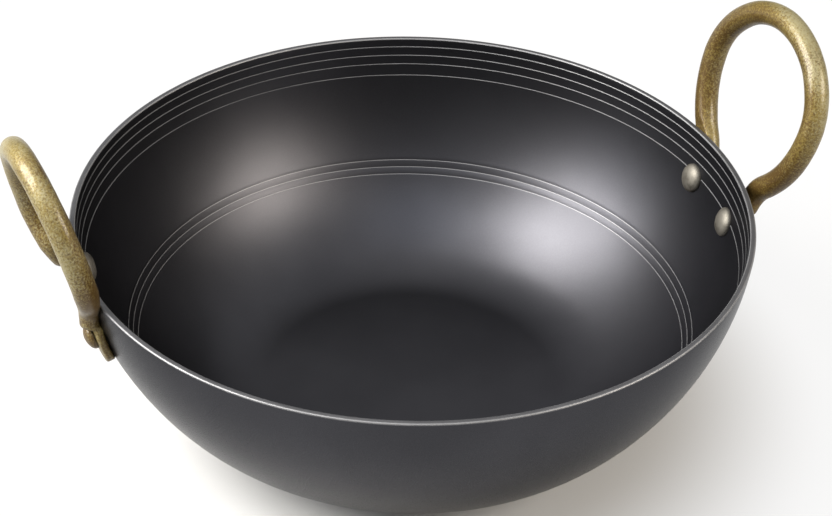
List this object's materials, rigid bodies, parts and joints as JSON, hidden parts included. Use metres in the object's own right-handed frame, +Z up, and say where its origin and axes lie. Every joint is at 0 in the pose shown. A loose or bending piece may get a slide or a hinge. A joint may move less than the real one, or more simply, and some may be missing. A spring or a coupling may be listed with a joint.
{
  "type": "kadai",
  "caption": "Deep round cooking pan with a small flat base, fine turned lines inside and upright brass loop handles riveted to its dark metal wall.",
  "frame": {"origin": "centre of the flat base's underside", "axes": "+Z up along the bowl's axis, +X from the axis to the right handle, -Y to the front"},
  "size_m": [0.2972, 0.2498, 0.1413],
  "materials": {
    "blackened_iron": "blue-black satin sheet iron, bare along the turned lines and the rim's edges",
    "antique_brass": "aged brass, mottled, darker in the hollows",
    "pewter_steel": "dull nickel grey"
  },
  "bodies": {
    "root": {"bowl": "blackened_iron", "handle_right": "antique_brass", "handle_left": "antique_brass", "rivet_right_front": "pewter_steel", "rivet_right_rear": "pewter_steel", "rivet_left_front": "pewter_steel", "rivet_left_rear": "pewter_steel"}
  },
  "joints": []
}
